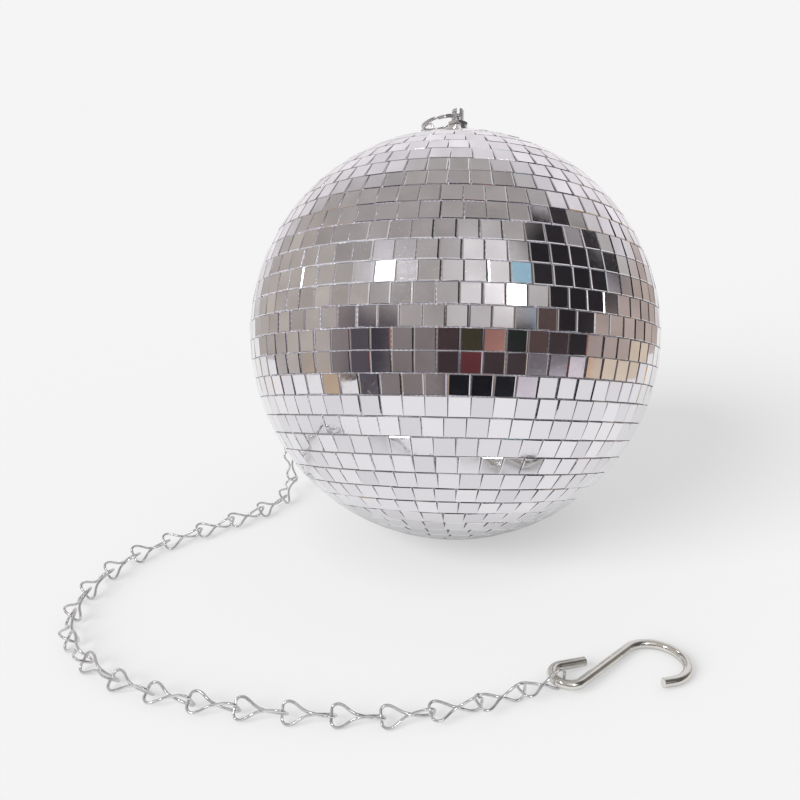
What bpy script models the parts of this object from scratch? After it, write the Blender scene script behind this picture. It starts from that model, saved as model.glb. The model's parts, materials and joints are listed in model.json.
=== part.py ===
"""Mirror ball at rest on the floor, with its hanging stud, split ring, jack chain and S-hook.

World frame: metres, +Z up, the floor at z = 0. The origin is the middle of the flat tile that the
ball rests on. The ball leans back, towards +Y, and its chain comes down behind it, runs out to the
left and crosses the floor in front of it.
"""
import math

import bpy
from mathutils import Matrix, Quaternion, Vector

MM = 0.001
SEAM = 0.3 * MM                      # gap kept between pieces that touch

# Ball: an 8 inch mirror ball with 3/8 inch class glass tiles
BALL_RADIUS = 101.5 * MM             # centre to the corners of the tiles
ROW_STEP = math.radians(5.2)         # one row of tiles, 9.2 mm along the surface
ROWS_IN_BAND = 3
BAND_COUNT = 11
REST_ROW = 30                        # the row whose tile lies on the floor, counted from the stud
SKIN = 2.0 * MM                      # glass, fabric backing and glue together
LEAN_HEADING = math.radians(86)      # direction of the lean, from +X towards +Y

# Core: two moulded half shells with a lapped joint at the equator
CORE_RADIUS = 98.0 * MM
CORE_WALL = 2.0 * MM
CORE_SIDES = 28
LAP_HEIGHT = 6.0 * MM
LAP_WALL = 1.5 * MM
VENT_RADIUS = 1.5 * MM

# Hanging hardware, heights measured from the ball's centre along the stud
STUD_RADIUS = 3.2 * MM
STUD_FOOT = 86.0 * MM
STUD_TOP = 116.6 * MM
STUD_BORE = 3.5 * MM                 # clearance hole for the stud in every piece it passes
SLOT_WIDTH = 1.5 * MM
SLOT_DEPTH = 3.0 * MM
EYE_HEIGHT = 111.6 * MM              # middle of the cross hole that the ring passes through
EYE_RADIUS = 1.5 * MM
CROWN_HUB_RADIUS = 8.3 * MM          # sits inside the first row of tiles, on the core
CROWN_RADIUS = 9.7 * MM              # flange over the edges of the first row
CROWN_SEAT = 101.4 * MM
CROWN_TOP = 102.6 * MM
COLLAR_RADIUS = 5.2 * MM
COLLAR_TOP = 107.6 * MM
NUT_FLATS = 9.6 * MM
NUT_THICK = 1.8 * MM
PLATE_RADIUS = 14.0 * MM
PLATE_THICK = 1.5 * MM
INNER_NUT_THICK = 5.0 * MM

# Split ring: two coils of flat wire, 20 mm outside
RING_RADIUS = 9.4 * MM               # to the middle of the wire
RING_RADIAL = 1.1 * MM
RING_AXIAL = 2.1 * MM
RING_REACH = 9.13 * MM               # eye to the ring's centre
RING_DROOP = math.radians(14)        # below square to the stud
RING_HOOK_ANGLE = math.radians(113)  # where the chain holds the ring, from the stud's side

# Jack chain: figure-eight links of round wire, one eye turned 90 degrees from the other
WIRE = 1.2 * MM
LINK_PITCH = 18.32 * MM
LINK_COUNT = 35
EYE_HALF = 4.2 * MM                  # half width of a link's eye, to the middle of the wire
EYE_CORNER = 2.3 * MM                # bend at each side of an eye's flat end
NECK_HALF = 0.75 * MM
CROSSING = WIRE + SEAM               # between the middles of two wires that hang on each other
LINK_LENGTH = LINK_PITCH + CROSSING
DRAPE_HEIGHT = EYE_HALF + WIRE / 2 + 2 * SEAM
DROP_HEADING = math.radians(150)     # where the chain leaves the ball and hangs to the floor
DROP_BEND = 38.0 * MM
ROLL_ON_FLOOR = math.radians(-46)    # a lying link rests on both of its eyes
ROLL_WOBBLE = math.radians(14)
ROLL_AT_HOOK = math.radians(-90)     # the last eye stands up around the hook
ROLL_EASE = 4                        # links over which it turns up

# S-hook: 4 mm wire
HOOK_WIRE = 4.0 * MM
HOOK_SMALL = 6.3 * MM
HOOK_LARGE = 12.8 * MM
HOOK_SHANK = 33.5 * MM
HOOK_SHANK_HEADING = math.radians(45)
HOOK_TIP_HEADING = math.radians(18)
HOOK_SMALL_TIP = 11.0 * MM
HOOK_LARGE_TIP = 4.0 * MM
HOOK_LARGE_SWEEP = math.radians(210)
HOOK_PULL = math.radians(38)         # from the last link's side to the middle of the small eye
HOOK_LIFT = 4.4 * MM                 # height of the wire where it lies in the last link
HOOK_FAR_LIFT = 2.05 * MM            # height of the wire at the large bow

# Where the chain lies on the floor, from its drop behind the ball to the hook
FLOOR_ROUTE = [(-88, 28), (-95, 7), (-118, -15), (-148, -37), (-164, -62), (-171, -90),
               (-166, -118), (-146, -140), (-115, -156), (-78, -164), (-40, -167), (0, -161.5),
               (34, -147), (62, -134)]


def clear_scene():
    for item in list(bpy.data.objects):
        bpy.data.objects.remove(item, do_unlink=True)


def make_collection(name):
    group = bpy.data.collections.new(name)
    bpy.context.scene.collection.children.link(group)
    return group


def make_material(name, colour, roughness, metallic):
    material = bpy.data.materials.new(name)
    material.use_nodes = True
    shader = material.node_tree.nodes["Principled BSDF"]
    shader.inputs["Base Color"].default_value = (*colour, 1.0)
    shader.inputs["Roughness"].default_value = roughness
    shader.inputs["Metallic"].default_value = metallic
    return material


def arc_points(radius, start, end, count):
    """Points in the XZ half plane on an arc about the origin, by colatitude."""
    angles = [start + (end - start) * k / count for k in range(count + 1)]
    return [(radius * math.sin(a), radius * math.cos(a)) for a in angles]


def turned(name, profile, sides, material, parent, phase=0.0):
    """A closed (radius, height) profile, outer side first from top to bottom, spun about Z."""
    mesh = bpy.data.meshes.new(name)
    count = len(profile)
    edges = [(k, (k + 1) % count) for k in range(count)]
    mesh.from_pydata([(r, 0.0, z) for r, z in profile], edges, [])
    item = bpy.data.objects.new(name, mesh)
    parts.objects.link(item)
    mesh.materials.append(material)
    screw = item.modifiers.new("spin", "SCREW")
    screw.angle = math.tau
    screw.steps = sides
    screw.render_steps = sides
    screw.use_merge_vertices = True
    screw.merge_threshold = 0.00001
    screw.use_smooth_shade = False
    item.parent = parent
    item.rotation_euler.z = phase
    return item


def cut_with(item, cutter):
    cutter.hide_render = True
    cutter.display_type = "WIRE"
    cut = item.modifiers.new("cut_" + cutter.name, "BOOLEAN")
    cut.operation = "DIFFERENCE"
    cut.object = cutter


def add_primitive(group, name, parent, height):
    """Take the primitive that an operator has just added, name it and hang it on the stud's axis."""
    item = bpy.context.object
    item.name = name
    for other in list(item.users_collection):
        other.objects.unlink(item)
    group.objects.link(item)
    item.parent = parent
    item.location = (0.0, 0.0, height)
    return item


def ring_profile(outer, inner, bottom, top):
    return [(outer, top), (outer, bottom), (inner, bottom), (inner, top)]


# ------------------------------------------------------------------ the ball

def middle_row(row):
    """The middle row of the band that a row belongs to."""
    return (row - 1) // ROWS_IN_BAND * ROWS_IN_BAND + 2


def tiles_around(row):
    return round(math.tau * math.sin((row + 0.5) * ROW_STEP) / ROW_STEP)


def row_edges(first_row):
    """Colatitudes of a band's row edges, with half a seam taken off each end."""
    half_seam = SEAM / 2 / BALL_RADIUS
    edges = [(first_row + k) * ROW_STEP for k in range(ROWS_IN_BAND + 1)]
    edges[0] += half_seam
    edges[-1] -= half_seam
    return edges


def rest_facet():
    """Colatitude of the normal, and distance from the centre, of the facet on the floor."""
    first_row = middle_row(REST_ROW) - 1
    edges = row_edges(first_row)
    top, bottom = edges[REST_ROW - first_row], edges[REST_ROW - first_row + 1]
    half_turn = math.pi / tiles_around(middle_row(REST_ROW))
    upper = Vector((math.sin(top) * math.cos(half_turn), math.cos(top))) * BALL_RADIUS
    lower = Vector((math.sin(bottom) * math.cos(half_turn), math.cos(bottom))) * BALL_RADIUS
    along = (lower - upper).normalized()
    normal = Vector((-along.y, along.x))
    return math.atan2(normal.x, normal.y), normal.dot(upper)


def ball_matrix():
    """The ball's own frame, +Z along the stud: it leans until its rest facet faces down."""
    colatitude, distance = rest_facet()
    lean = math.pi - colatitude
    turn = Matrix.Rotation(LEAN_HEADING, 4, "Z")
    tilt = turn @ Matrix.Rotation(lean, 4, "Y") @ turn.inverted()
    return Matrix.Translation((0, 0, distance)) @ tilt


def build_bands(frame, glass):
    for band in range(BAND_COUNT):
        first_row = 1 + band * ROWS_IN_BAND
        edges = row_edges(first_row)
        sides = tiles_around(middle_row(first_row))
        outer = [(BALL_RADIUS * math.sin(a), BALL_RADIUS * math.cos(a)) for a in edges]
        back = BALL_RADIUS - SKIN
        inner = [(back * math.sin(a), back * math.cos(a)) for a in (edges[-1], edges[0])]
        name = f"mirror_band_{band + 1:02d}"
        turned(name, outer + inner, sides, glass, frame, LEAN_HEADING - math.pi / sides)


def build_pole_tile(frame, glass):
    """One square tile closes the pole that is opposite the stud."""
    side = 0.78 * BALL_RADIUS * ROW_STEP
    bpy.ops.mesh.primitive_cube_add(size=1)
    tile = add_primitive(parts, "pole_tile", frame, SKIN / 2 - BALL_RADIUS)
    tile.scale = (side, side, SKIN)
    tile.data.materials.append(glass)


def build_core(frame, plastic):
    inner_radius = CORE_RADIUS - CORE_WALL
    hole = math.asin(STUD_BORE / CORE_RADIUS)
    rim = math.acos(SEAM / 2 / CORE_RADIUS)
    outer = arc_points(CORE_RADIUS, hole, rim, 7)
    inner = arc_points(inner_radius, rim, math.asin(STUD_BORE / inner_radius), 7)
    turned("core_upper_shell", outer + inner, CORE_SIDES, plastic, frame)

    lap_outer = inner_radius - 4 * SEAM
    lap_inner = lap_outer - LAP_WALL
    vent = math.pi - math.asin(VENT_RADIUS / CORE_RADIUS)
    outer = [(lap_outer, LAP_HEIGHT), (lap_outer, -SEAM / 2)]
    outer += arc_points(CORE_RADIUS, math.pi - rim, vent, 7)
    ledge = math.acos(-LAP_HEIGHT / inner_radius)
    vent_inner = math.pi - math.asin(VENT_RADIUS / inner_radius)
    inner = arc_points(inner_radius, vent_inner, ledge, 7)
    inner += [(lap_inner, -LAP_HEIGHT), (lap_inner, LAP_HEIGHT)]
    turned("core_lower_shell", outer + inner, CORE_SIDES, plastic, frame)


def build_hex_nut(name, bottom, thick, frame, zinc):
    bpy.ops.mesh.primitive_cylinder_add(vertices=6, depth=thick, radius=NUT_FLATS / math.sqrt(3))
    nut = add_primitive(parts, name, frame, bottom + thick / 2)
    nut.data.materials.append(zinc)
    bpy.ops.mesh.primitive_cylinder_add(vertices=20, depth=2 * thick, radius=STUD_BORE)
    cut_with(nut, add_primitive(cutters, name + "_bore", frame, bottom + thick / 2))


def build_hardware(frame, zinc, steel):
    crown = [(CROWN_RADIUS, CROWN_TOP), (CROWN_RADIUS, CROWN_SEAT),
             (CROWN_HUB_RADIUS, CROWN_SEAT), (CROWN_HUB_RADIUS, CORE_RADIUS + SEAM),
             (STUD_BORE, CORE_RADIUS + SEAM), (STUD_BORE, CROWN_TOP)]
    turned("crown_plate", crown, 32, steel, frame)
    collar = ring_profile(COLLAR_RADIUS, STUD_BORE, CROWN_TOP + SEAM, COLLAR_TOP)
    turned("spacer_collar", collar, 24, zinc, frame)
    build_hex_nut("crown_nut", COLLAR_TOP + SEAM, NUT_THICK, frame, zinc)

    plate_top = CORE_RADIUS - CORE_WALL - 2 * SEAM
    plate = ring_profile(PLATE_RADIUS, STUD_BORE, plate_top - PLATE_THICK, plate_top)
    plate_drop = PLATE_RADIUS ** 2 / 2 / CORE_RADIUS + SEAM
    plate = [(radius, height - plate_drop) for radius, height in plate]
    turned("backing_plate", plate, 28, steel, frame)
    nut_bottom = plate_top - plate_drop - PLATE_THICK - SEAM - INNER_NUT_THICK
    build_hex_nut("inner_nut", nut_bottom, INNER_NUT_THICK, frame, zinc)

    length = STUD_TOP - STUD_FOOT
    bpy.ops.mesh.primitive_cylinder_add(vertices=24, depth=length, radius=STUD_RADIUS)
    stud = add_primitive(parts, "hanger_stud", frame, STUD_FOOT + length / 2)
    stud.data.materials.append(steel)
    bpy.ops.mesh.primitive_cube_add(size=1)
    slot = add_primitive(cutters, "stud_slot", frame, STUD_TOP)
    slot.scale = (SLOT_WIDTH, 4 * STUD_RADIUS, 2 * SLOT_DEPTH)
    cut_with(stud, slot)
    bpy.ops.mesh.primitive_cylinder_add(vertices=16, depth=4 * STUD_RADIUS, radius=EYE_RADIUS)
    eye = add_primitive(cutters, "stud_eye", frame, EYE_HEIGHT)
    eye.rotation_euler.x = math.pi / 2
    cut_with(stud, eye)


# ------------------------------------------------------------------ the ring

def ring_matrix(ball):
    """The ring's frame: origin on the eye's axis, +X to the ring's centre, +Y along the eye."""
    turn = Matrix.Rotation(math.pi, 4, "Z") @ Matrix.Rotation(RING_DROOP, 4, "Y")
    return ball @ Matrix.Translation((0, 0, EYE_HEIGHT)) @ turn


def build_ring(matrix, zinc):
    pivot = bpy.data.objects.new("ring_pivot", None)
    parts.objects.link(pivot)
    pivot.matrix_world = matrix
    outer = RING_RADIUS + RING_RADIAL / 2
    inner = RING_RADIUS - RING_RADIAL / 2
    profile = ring_profile(outer, inner, -RING_AXIAL / 2, RING_AXIAL / 2)
    ring = turned("split_ring", profile, 36, zinc, pivot)
    ring.location.x = RING_REACH


def first_eye(ring):
    """Where the first link's wire lies inside the ring."""
    inside = RING_RADIUS - RING_RADIAL / 2 - WIRE / 2 - 1.5 * SEAM
    return ring @ Vector((RING_REACH - inside * math.cos(RING_HOOK_ANGLE),
                          -inside * math.sin(RING_HOOK_ANGLE), 0.0))


# ------------------------------------------------------------------ the chain

def smooth_route(points, samples):
    """A curve through the points, by Catmull-Rom, with the ends doubled."""
    ends = [2 * points[0] - points[1]] + points + [2 * points[-1] - points[-2]]
    route = []
    for a, b, c, d in zip(ends, ends[1:], ends[2:], ends[3:]):
        for k in range(samples):
            t = k / samples
            route.append(((2 * b) + (c - a) * t + (2 * a - 5 * b + 4 * c - d) * t ** 2
                          + (3 * b - a - 3 * c + d) * t ** 3) / 2)
    return route


def chain_route(start, centre):
    """The whole line that the chain follows: over the ball, down behind it and along the floor."""
    reach = BALL_RADIUS + DRAPE_HEIGHT
    leave = Vector((math.cos(DROP_HEADING), math.sin(DROP_HEADING), 0.0))
    first = (start - centre).normalized()
    excess = (start - centre).length - reach
    swing = first.rotation_difference(leave)
    route = []
    for k in range(41):
        part = Quaternion().slerp(swing, k / 40)
        route.append(centre + (part @ first) * (reach + excess * max(0.0, 1 - k / 5)))
    landing = Vector((*[MM * v for v in FLOOR_ROUTE[0]], EYE_HALF))
    foot = Vector((leave.x * reach, leave.y * reach, EYE_HALF))
    away = (landing - foot).normalized()
    bend = foot + Vector((0, 0, DROP_BEND))
    route += [Vector((foot.x, foot.y, centre.z + (bend.z - centre.z) * k / 12))
              for k in range(1, 12)]
    for k in range(9):
        angle = math.pi / 2 * k / 8
        drop = Vector((0, 0, DROP_BEND * math.sin(angle)))
        route.append(bend + away * DROP_BEND * (1 - math.cos(angle)) - drop)
    floor = [route[-1]] + [Vector((MM * x, MM * y, EYE_HALF)) for x, y in FLOOR_ROUTE]
    return route + smooth_route(floor, 24)[1:]


def step_along(route, count):
    """The chain's joints: points a straight pitch apart along the route."""
    found = [route[0]]
    for a, b in zip(route, route[1:]):
        pitch = LINK_PITCH + (CROSSING / 2 if len(found) == 1 else 0.0)
        if len(found) > count or (b - found[-1]).length < pitch:
            continue
        low, high = 0.0, 1.0
        for _ in range(40):
            middle = (low + high) / 2
            near = (a.lerp(b, middle) - found[-1]).length < pitch
            low, high = (middle, high) if near else (low, middle)
        found.append(a.lerp(b, high))
    return found


def roll_on_floor(index):
    """How far a lying link is rolled over; the last ones stand up for the hook."""
    easy = ROLL_ON_FLOOR + ROLL_WOBBLE * math.sin(0.9 * index)
    share = max(0.0, 1 - (LINK_COUNT - 1 - index) / ROLL_EASE)
    return easy + (ROLL_AT_HOOK - easy) * share


def chain_frames(start, centre):
    """A frame for each link: origin on its first eye's wire, +X along it, +Z across that eye."""
    joints = step_along(chain_route(start, centre), LINK_COUNT)
    first_on_floor = next(k for k, p in enumerate(joints) if p.z < 1.3 * EYE_HALF)
    for k in range(first_on_floor, LINK_COUNT + 1):
        stand = abs(math.sin(roll_on_floor(k - 1)))
        if k < LINK_COUNT:
            stand = max(stand, abs(math.cos(roll_on_floor(k))))
        joints[k].z = (WIRE + SEAM) / 2 + EYE_HALF * stand
    frames = []
    along = (joints[1] - joints[0]).normalized()
    across = (start - centre).normalized()
    for k in range(LINK_COUNT):
        heading = (joints[k + 1] - joints[k]).normalized()
        across = along.rotation_difference(heading) @ across
        if k >= first_on_floor:
            across = Quaternion(heading, roll_on_floor(k)) @ Vector((0, 0, 1))
        across = (across - heading * across.dot(heading)).normalized()
        along = heading
        frame = Matrix((heading, across.cross(heading), across)).transposed().to_4x4()
        frame.translation = joints[k] - heading * (CROSSING / 2 if k else 0.0)
        frames.append(frame)
    return frames, first_on_floor


def link_width(from_end):
    """Half width of a link at a distance from its nearer end: a flat end, then a taper."""
    if from_end < EYE_CORNER:
        bend = math.sqrt(EYE_CORNER ** 2 - (EYE_CORNER - from_end) ** 2)
        return EYE_HALF - EYE_CORNER + bend
    share = (LINK_LENGTH / 2 - from_end) / (LINK_LENGTH / 2 - EYE_CORNER)
    return NECK_HALF + (EYE_HALF - NECK_HALF) * (1 - math.cos(math.pi * share)) / 2


def link_path():
    """The wire's middle line: a figure of eight whose second eye is turned 90 degrees."""
    middle = LINK_LENGTH / 2
    straight = middle - EYE_HALF
    ends = [0.0, 0.3 * EYE_CORNER, EYE_CORNER, 0.4 * middle, 0.7 * middle]
    stations = [(x, link_width(x)) for x in ends + [middle]]
    stations += [(LINK_LENGTH - x, w) for x, w in reversed(stations[:-1])]
    path = []
    for side in (1, -1):
        for x, width in stations[::side]:
            turned_by = min(1.0, max(0.0, 0.5 + (x - middle) / straight))
            twist = math.pi / 2 * (1 - turned_by)
            path.append(Vector((x, side * width * math.cos(twist), side * width * math.sin(twist))))
    return path


def wire_curve(name, points, wire, closed, resolution):
    curve = bpy.data.curves.new(name, "CURVE")
    curve.dimensions = "3D"
    curve.bevel_depth = wire / 2
    curve.bevel_resolution = resolution
    curve.use_fill_caps = not closed
    spline = curve.splines.new("POLY")
    spline.points.add(len(points) - 1)
    for place, point in zip(spline.points, points):
        place.co = (*point, 1.0)
    spline.use_cyclic_u = closed
    return curve


def link_hinge(index, frames, first_on_floor, centre):
    """Where a link's hinge lies and the line of its axis.

    A link lying over the ball swings along the ball, a hanging one swings in its own first eye,
    and those on the floor turn by turns in their own first eye and in the eye that holds them.
    """
    own = frames[index]
    if index < first_on_floor or (index - first_on_floor) % 2 == 1:
        pivot = own.translation.copy()
        over_ball = index < first_on_floor and pivot.z > centre.z
        return pivot, (pivot - centre).normalized() if over_ball else own.col[2].to_3d()
    held_by = frames[index - 1]
    return held_by @ Vector((LINK_LENGTH, 0, 0)), held_by.col[1].to_3d()


def build_chain(frames, first_on_floor, centre, zinc):
    for k, frame in enumerate(frames):
        pivot, _ = link_hinge(k, frames, first_on_floor, centre)
        offset = frame.inverted() @ pivot
        name = f"chain_link_{k + 1:02d}"
        curve = wire_curve(name, [point - offset for point in link_path()], WIRE, True, 1)
        curve.materials.append(zinc)
        link = bpy.data.objects.new(name, curve)
        parts.objects.link(link)
        link.matrix_world = frame @ Matrix.Translation(offset)


# ------------------------------------------------------------------ the hook

def hook_frame(last_link):
    """The end of the last link, and the middle of the hook's wire where it lies in that eye."""
    end = last_link @ Vector((LINK_LENGTH, 0, 0))
    heading = last_link.col[0].to_3d()
    heading.z = 0.0
    heading.normalize()
    wire_middle = end - heading * (HOOK_WIRE / 2 + WIRE / 2 + 2.5 * SEAM)
    wire_middle.z = HOOK_LIFT
    return end, wire_middle


def arc_2d(centre, radius, start, sweep, count):
    angles = [start + sweep * k / count for k in range(count + 1)]
    return [centre + radius * Vector((math.cos(a), math.sin(a))) for a in angles]


def hook_path(wire_middle):
    """The wire's middle line: small eye, shank and large bow, dropping towards the bow."""
    pull = Vector((math.cos(HOOK_PULL), math.sin(HOOK_PULL)))
    small = wire_middle.to_2d() + HOOK_SMALL * pull
    start = HOOK_TIP_HEADING + math.pi / 2
    end = HOOK_SHANK_HEADING + 3 * math.pi / 2
    eye = arc_2d(small, HOOK_SMALL, start, end - start, 9)
    tip_way = Vector((math.cos(HOOK_TIP_HEADING), math.sin(HOOK_TIP_HEADING)))
    shank_way = Vector((math.cos(HOOK_SHANK_HEADING), math.sin(HOOK_SHANK_HEADING)))
    shank_end = eye[-1] + HOOK_SHANK * shank_way
    large = shank_end + HOOK_LARGE * Vector((shank_way.y, -shank_way.x))
    bow = arc_2d(large, HOOK_LARGE, HOOK_SHANK_HEADING + math.pi / 2, -HOOK_LARGE_SWEEP, 13)
    final = HOOK_SHANK_HEADING + math.pi / 2 - HOOK_LARGE_SWEEP
    last_way = Vector((math.sin(final), -math.cos(final)))
    flat = [eye[0] + HOOK_SMALL_TIP * tip_way] + eye + bow + [bow[-1] + HOOK_LARGE_TIP * last_way]
    far = (large - wire_middle.to_2d()).length + HOOK_LARGE
    slope = (HOOK_FAR_LIFT - HOOK_LIFT) / far
    away = (large - wire_middle.to_2d()).normalized()
    return [Vector((*p, HOOK_LIFT + slope * (p - wire_middle.to_2d()).dot(away))) for p in flat]


def build_hook(last_link, zinc):
    end, wire_middle = hook_frame(last_link)
    points = [p - end for p in hook_path(wire_middle)]
    curve = wire_curve("s_hook", points, HOOK_WIRE, False, 2)
    curve.materials.append(zinc)
    hook = bpy.data.objects.new("s_hook", curve)
    parts.objects.link(hook)
    hook.location = end
    weld = hook.modifiers.new("weld", "WELD")
    weld.merge_threshold = 0.00001


# ------------------------------------------------------------------ assembly

clear_scene()
parts = make_collection("mirror_ball")
cutters = make_collection("cutters")
mirror_glass = make_material("mirror_glass_tiles", (0.80, 0.79, 0.80), 0.04, 1.0)
core_plastic = make_material("moulded_core", (0.10, 0.10, 0.11), 0.6, 0.0)
zinc_plate = make_material("zinc_plated_steel", (0.62, 0.61, 0.60), 0.28, 1.0)
stud_steel = make_material("plain_steel", (0.42, 0.42, 0.43), 0.35, 1.0)
chain_zinc = make_material("zinc_plated_wire", (0.66, 0.65, 0.63), 0.3, 1.0)
hook_zinc = make_material("passivated_zinc_wire", (0.66, 0.64, 0.58), 0.25, 1.0)

BALL = ball_matrix()
ball_frame = bpy.data.objects.new("ball_frame", None)
parts.objects.link(ball_frame)
ball_frame.matrix_world = BALL

build_core(ball_frame, core_plastic)
build_bands(ball_frame, mirror_glass)
build_pole_tile(ball_frame, mirror_glass)
build_hardware(ball_frame, zinc_plate, stud_steel)

RING = ring_matrix(BALL)
build_ring(RING, zinc_plate)

CENTRE = BALL.translation.copy()
LINKS, FIRST_ON_FLOOR = chain_frames(first_eye(RING), CENTRE)
build_chain(LINKS, FIRST_ON_FLOOR, CENTRE, chain_zinc)
build_hook(LINKS[-1], hook_zinc)
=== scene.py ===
"""A mirror ball at rest on a white table, with its stud, split ring, jack chain and S-hook."""
import json
import math
import random

import bmesh
import bpy
import numpy as np
from mathutils import Matrix, Quaternion, Vector


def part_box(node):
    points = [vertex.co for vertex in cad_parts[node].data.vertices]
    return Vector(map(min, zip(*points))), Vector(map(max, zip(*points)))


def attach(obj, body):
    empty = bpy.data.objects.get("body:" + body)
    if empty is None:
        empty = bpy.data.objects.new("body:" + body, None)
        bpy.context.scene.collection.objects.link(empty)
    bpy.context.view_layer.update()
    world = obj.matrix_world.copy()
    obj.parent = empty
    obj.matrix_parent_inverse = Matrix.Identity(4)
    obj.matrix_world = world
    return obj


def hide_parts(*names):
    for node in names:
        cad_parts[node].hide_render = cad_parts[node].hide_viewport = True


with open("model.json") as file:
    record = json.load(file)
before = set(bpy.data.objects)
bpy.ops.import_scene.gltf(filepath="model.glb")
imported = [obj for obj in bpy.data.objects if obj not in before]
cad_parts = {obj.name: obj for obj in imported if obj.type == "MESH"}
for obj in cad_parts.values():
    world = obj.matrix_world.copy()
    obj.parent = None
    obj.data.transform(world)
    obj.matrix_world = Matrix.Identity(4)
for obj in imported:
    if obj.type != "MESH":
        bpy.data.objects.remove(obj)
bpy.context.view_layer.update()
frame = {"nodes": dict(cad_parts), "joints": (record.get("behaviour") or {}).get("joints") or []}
MM = 0.001

# ------------------------------------------------------------------ camera
# A 40 mm lens looks 20 degrees down at the ball and at the chain in front of it.
CAMERA_PLACE = (-28.2 * MM, -435.9 * MM, 224.2 * MM)
CAMERA_TURN = (math.radians(70.23), 0.0, math.radians(-0.19))

camera_data = bpy.data.cameras.new("camera")
camera_data.lens = 40.1
camera_data.sensor_width = 36.0
camera = bpy.data.objects.new("camera", camera_data)
camera.location = CAMERA_PLACE
camera.rotation_euler = CAMERA_TURN
bpy.context.scene.collection.objects.link(camera)
bpy.context.scene.camera = camera
bpy.context.scene.view_settings.view_transform = "Standard"

# ------------------------------------------------------------------ table and light
# A white laminate table under even light, with one soft lamp at the upper left. Part of the even light is
# painted: the laminate glows by itself, with painted contact shade round the ball. It is made of a wide
# floor, and a near part that ends where a real table would, seen only in reflections.
FLOOR_HALF = 9.0
FLOOR_HEIGHT = -0.3 * MM             # just under the ball, so that nothing flickers through it
TABLE_LEFT, TABLE_RIGHT = -0.40, 0.42
TABLE_FRONT, TABLE_BACK = -0.47, 1.6
TABLE_HEIGHT = -0.1 * MM
TABLE_WHITE = "737373"               # what the laminate scatters of the directed light
TABLE_PAINTED_GLOW = "c2c2c2"                # painted glow: a colour the laminate emits, standing in for the light that comes from all sides
PAINTED_SHADE_REACH = 0.03                 # how far round the ball the painted contact shade on the table reaches
FLOOR_PAINTED_SHADE = 0.14                   # the share of the painted glow that the painted contact shade takes away
# the near part seen only in mirrors gets a stronger painted contact shade, so the ball's lowest tiles
# show a dark band
TABLE_PAINTED_SHADE = 0.75
BACKDROP_WHITE = "f5f5f5"
KEY_HEADING = math.radians(-50)      # from the front, towards the right
KEY_HEIGHT = math.radians(27)
KEY_WIDTH = math.radians(38)
KEY_STRENGTH = 8.66


def linear(hex_colour):
    """An sRGB hex value as linear red, green, blue and alpha."""
    parts = [int(hex_colour[k:k + 2], 16) / 255 for k in (0, 2, 4)]
    return tuple(p / 12.92 if p < 0.04045 else ((p + 0.055) / 1.055) ** 2.4 for p in parts) + (1.0,)


def add_node(tree, kind, values=None, **settings):
    """Adds a node. values sets its inputs by name or number, and links those given a socket."""
    node = tree.nodes.new(kind)
    for key, value in settings.items():
        setattr(node, key, value)
    for key, value in (values or {}).items():
        if isinstance(value, bpy.types.NodeSocket):
            tree.links.new(value, node.inputs[key])
        else:
            node.inputs[key].default_value = value
    return node


def new_material(name):
    """An empty node material with its output: returns the material and its node tree."""
    material = bpy.data.materials.new(name)
    material.use_nodes = True
    material.node_tree.nodes.clear()
    return material, material.node_tree


def deselect_all():
    bpy.ops.object.select_all(action="DESELECT")


def make_table_white(name, painted_shade_share):
    """High pressure laminate: a white decor with a satin texture of about 1 mm, and no clear gloss. It
    also glows with a painted even light, which a painted contact shade darkens near the ball, chain and
    hook.
    """
    material, tree = new_material(name)
    place = add_node(tree, "ShaderNodeTexCoord")
    grain = add_node(tree, "ShaderNodeTexNoise", {"Vector": place.outputs["Object"], "Scale": 900.0})
    bump = add_node(tree, "ShaderNodeBump", {"Height": grain.outputs["Fac"], "Strength": 0.02,
                                             "Distance": 0.0002})
    # painted contact shade: ambient occlusion darkens the painted glow near the ball, chain and hook
    painted_contact_shade = add_node(tree, "ShaderNodeAmbientOcclusion",
                        {"Color": linear(TABLE_PAINTED_GLOW), "Distance": PAINTED_SHADE_REACH}, samples=8)
    even = add_node(tree, "ShaderNodeMix", {0: painted_shade_share, 6: linear(TABLE_PAINTED_GLOW),
                                            7: painted_contact_shade.outputs["Color"]}, data_type="RGBA")
    shader = add_node(tree, "ShaderNodeBsdfPrincipled",
                      {"Base Color": linear(TABLE_WHITE), "Roughness": 0.8,
                       "Specular IOR Level": 0.0, "Emission Color": even.outputs[2],
                       "Emission Strength": 1.0, "Normal": bump.outputs["Normal"]})
    add_node(tree, "ShaderNodeOutputMaterial", {"Surface": shader.outputs["BSDF"]})
    return material


def add_plane(name, low, high, height, material):
    deselect_all()
    middle = ((low[0] + high[0]) / 2, (low[1] + high[1]) / 2, height)
    bpy.ops.mesh.primitive_plane_add(size=1.0, location=middle)
    plane = bpy.context.object
    plane.name = name
    plane.scale = (high[0] - low[0], high[1] - low[1], 1.0)
    plane.data.materials.append(material)
    return plane


floor = add_plane("floor", (-FLOOR_HALF, -FLOOR_HALF), (FLOOR_HALF, FLOOR_HALF), FLOOR_HEIGHT,
                  make_table_white("white_laminate", FLOOR_PAINTED_SHADE))
floor.visible_glossy = False
table = add_plane("table", (TABLE_LEFT, TABLE_FRONT), (TABLE_RIGHT, TABLE_BACK), TABLE_HEIGHT,
                  make_table_white("white_laminate_in_mirrors", TABLE_PAINTED_SHADE))
table.visible_camera = False
table.visible_shadow = False
table.visible_diffuse = False

world = bpy.data.worlds.new("even_light")
bpy.context.scene.world = world
world.use_nodes = True
backdrop = world.node_tree.nodes["Background"]
backdrop.inputs["Color"].default_value = linear(BACKDROP_WHITE)
backdrop.inputs["Strength"].default_value = 1.0

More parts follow.
